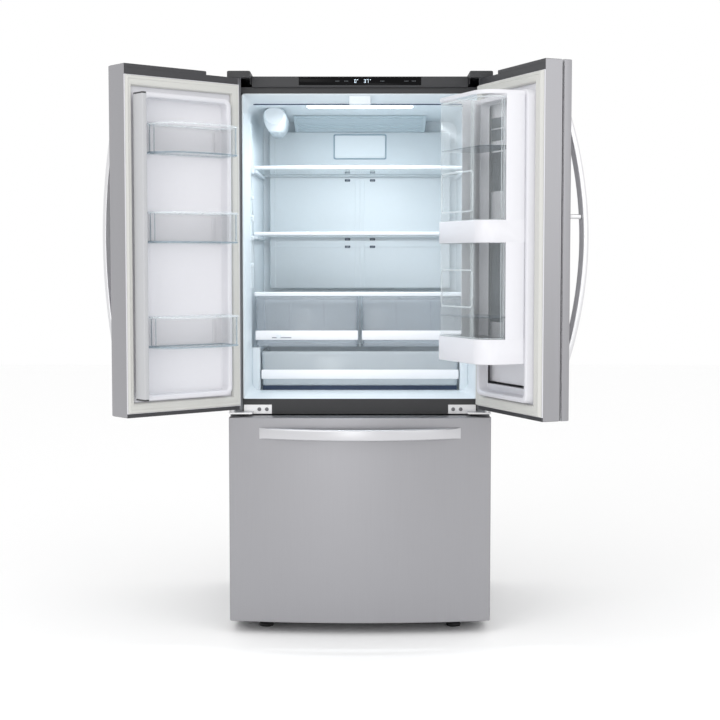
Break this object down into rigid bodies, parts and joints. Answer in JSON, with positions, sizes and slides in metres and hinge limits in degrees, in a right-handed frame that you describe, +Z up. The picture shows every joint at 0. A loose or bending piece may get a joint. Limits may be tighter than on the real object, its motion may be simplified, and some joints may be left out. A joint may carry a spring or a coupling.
{
  "type": "french door refrigerator",
  "caption": "Upright refrigerator with two side-hinged fresh food doors, one with a small outer door, above a pull-out freezer drawer.",
  "frame": {"origin": "on the floor, under the middle of the box around the whole object with its doors open as stored", "axes": "+Z up, +Y towards the back of the cabinet, +X to the right as seen from the front"},
  "size_m": [1.4614, 1.1444, 1.78],
  "materials": {
    "stainless": "vertically brushed stainless steel",
    "dark_plastic": "dark grey, finely textured",
    "grey_paint": "lightly textured grey paint",
    "flap_grey": "satin grey plastic",
    "panel_grey": "satin light grey",
    "liner_white": "satin white plastic",
    "door_white": "satin white plastic",
    "gasket_grey": "soft pale grey vinyl",
    "clear_plastic": "clear moulded plastic",
    "shelf_glass": "tempered glass in a white rim",
    "display_black": "gloss black",
    "lamp_white": "milky diffuser",
    "zinc": "zinc plated",
    "black_rubber": "hard black rubber",
    "black_enamel": "black enamel"
  },
  "bodies": {
    "cabinet": {"side_panel_left": "grey_paint", "side_panel_right": "grey_paint", "top_panel": "grey_paint", "back_panel": "grey_paint", "machine_cover": "grey_paint", "base_pan": "grey_paint", "front_foot_left": "black_rubber", "front_foot_right": "black_rubber", "fridge_liner": "liner_white", "freezer_liner": "liner_white", "center_mullion": "dark_plastic", "top_trim": "dark_plastic", "display_panel": "display_black", "ceiling_lamp": "lamp_white", "filter_housing": "liner_white", "duct_cover": "liner_white", "shelf_upper": "shelf_glass", "shelf_lower": "shelf_glass", "crisper_cover": "shelf_glass", "hinge_top_left": "zinc", "hinge_top_right": "zinc", "hinge_cover_left": "dark_plastic", "hinge_cover_right": "dark_plastic", "hinge_middle_left": "zinc", "hinge_middle_right": "zinc", "compressor": "black_enamel"},
    "left_door": {"left_door_skin": "stainless", "left_cap_top": "dark_plastic", "left_cap_bottom": "dark_plastic", "left_door_gasket": "gasket_grey", "left_door_liner": "door_white", "left_door_handle": "stainless", "left_door_bin_1": "clear_plastic", "left_door_bin_2": "clear_plastic", "left_door_bin_3": "clear_plastic"},
    "mullion_flap": {"mullion_flap": "flap_grey"},
    "right_door": {"right_door_frame": "stainless", "right_cap_top": "dark_plastic", "right_cap_bottom": "dark_plastic", "right_door_gasket": "gasket_grey", "right_door_liner": "door_white", "basket_carrier": "door_white", "right_basket_upper": "clear_plastic", "right_basket_lower": "clear_plastic"},
    "outer_door": {"outer_door_skin": "stainless", "outer_door_panel": "panel_grey", "right_door_handle": "stainless"},
    "outer_door_button": {"outer_door_button": "zinc"},
    "crisper_left": {"crisper_left": "clear_plastic"},
    "humidity_slider": {"humidity_slider": "door_white"},
    "crisper_right": {"crisper_right": "clear_plastic"},
    "pantry_drawer": {"pantry_drawer": "clear_plastic"},
    "freezer_drawer": {"freezer_front": "stainless", "freezer_inner_panel": "door_white", "freezer_gasket": "gasket_grey", "freezer_handle": "stainless", "freezer_basket": "door_white"},
    "freezer_tray": {"freezer_tray": "door_white"},
    "roller_left": {"rear_roller_left": "black_rubber"},
    "roller_right": {"rear_roller_right": "black_rubber"}
  },
  "joints": [
    {"name": "left_door_hinge", "type": "hinge", "parent": "cabinet", "child": "left_door", "pos_m": [-0.35, -0.18384, 1.2], "axis": [0, 0, -1], "range_deg": [-139.6, 0]},
    {"name": "right_door_hinge", "type": "hinge", "parent": "cabinet", "child": "right_door", "pos_m": [0.462, -0.18384, 1.2], "axis": [0, 0, 1], "range_deg": [-112.4, 27.2]},
    {"name": "mullion_flap_hinge", "type": "hinge", "parent": "left_door", "child": "mullion_flap", "pos_m": [-0.60173, -0.4682, 1.2], "axis": [0, 0, 1], "range_deg": [-90, 0]},
    {"name": "outer_door_hinge", "type": "hinge", "parent": "right_door", "child": "outer_door", "pos_m": [0.47997, -0.17102, 1.2], "axis": [0, 0, 1], "range_deg": [0, 90]},
    {"name": "outer_door_button_press", "type": "slide", "parent": "outer_door", "child": "outer_door_button", "axis": [-0.9245, -0.3811, 0], "range_m": [0, 0.006], "stiffness_N_per_m": 300},
    {"name": "crisper_left_slide", "type": "slide", "parent": "cabinet", "child": "crisper_left", "axis": [0, -1, 0], "range_m": [0, 0.27]},
    {"name": "humidity_slide", "type": "slide", "parent": "crisper_left", "child": "humidity_slider", "axis": [1, 0, 0], "range_m": [-0.02, 0.03]},
    {"name": "crisper_right_slide", "type": "slide", "parent": "cabinet", "child": "crisper_right", "axis": [0, -1, 0], "range_m": [0, 0.27]},
    {"name": "pantry_slide", "type": "slide", "parent": "cabinet", "child": "pantry_drawer", "axis": [0, -1, 0], "range_m": [0, 0.27]},
    {"name": "freezer_slide", "type": "slide", "parent": "cabinet", "child": "freezer_drawer", "axis": [0, -1, 0], "range_m": [0, 0.42]},
    {"name": "freezer_tray_slide", "type": "slide", "parent": "freezer_drawer", "child": "freezer_tray", "axis": [0, 1, 0], "range_m": [0, 0.15]},
    {"name": "roller_left_spin", "type": "hinge", "parent": "cabinet", "child": "roller_left", "pos_m": [-0.274, 0.50116, 0.018], "axis": [1, 0, 0], "continuous": true},
    {"name": "roller_right_spin", "type": "hinge", "parent": "cabinet", "child": "roller_right", "pos_m": [0.386, 0.50116, 0.018], "axis": [1, 0, 0], "continuous": true}
  ]
}
